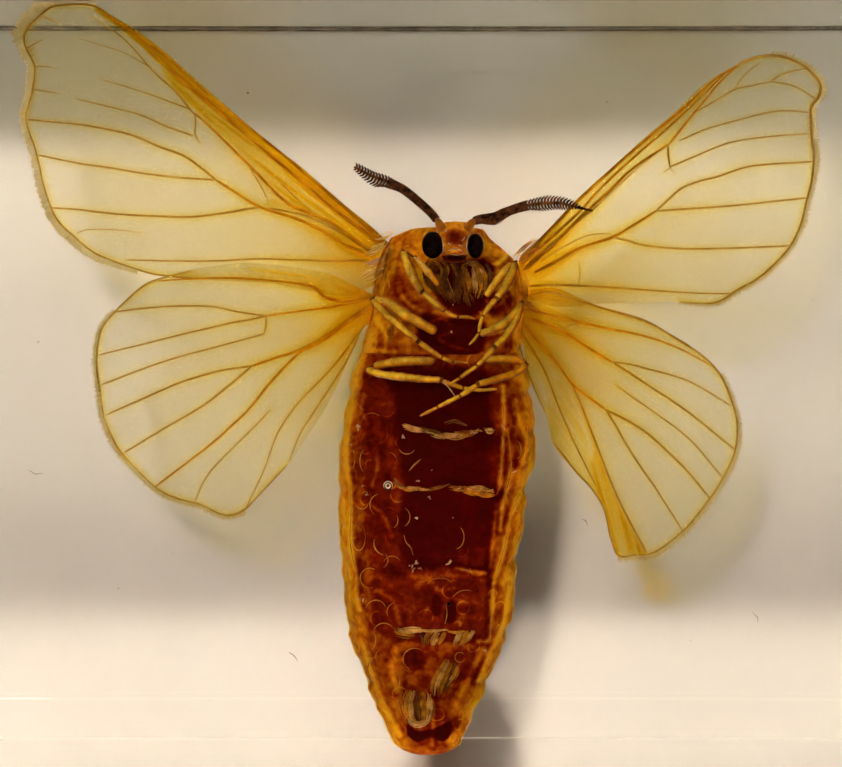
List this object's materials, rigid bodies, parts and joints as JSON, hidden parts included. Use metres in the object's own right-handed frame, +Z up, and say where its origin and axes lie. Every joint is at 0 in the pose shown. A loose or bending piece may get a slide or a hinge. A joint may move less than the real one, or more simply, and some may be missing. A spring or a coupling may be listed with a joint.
{
  "type": "moth specimen in clear block",
  "caption": "Silk moth, belly up with spread amber wings and a dark full abdomen, cast in a flat clear rectangular block.",
  "frame": {"origin": "middle of the block's underside", "axes": "+Z up out of the block's top face, +Y towards the moth's head, +X along the block's length"},
  "size_m": [0.073, 0.04, 0.02],
  "materials": {
    "clear_resin": "clear, polished",
    "head_skin": "satin, hairy",
    "antenna": "matt",
    "thorax_skin": "waxy, see-through at its edges",
    "abdomen_skin": "waxy, amber at its edges",
    "wing": "thin amber membrane",
    "leg": "waxy"
  },
  "bodies": {
    "root": {"block_lower": "clear_resin", "block_upper": "clear_resin", "head": "head_skin", "antenna_left": "antenna", "antenna_right": "antenna", "thorax": "thorax_skin", "abdomen": "abdomen_skin", "forewing_left": "wing", "forewing_right": "wing", "hindwing_left": "wing", "hindwing_right": "wing", "foreleg_left": "leg", "foreleg_right": "leg", "midleg_left": "leg", "midleg_right": "leg", "hindleg_left": "leg", "hindleg_right": "leg"}
  },
  "joints": []
}
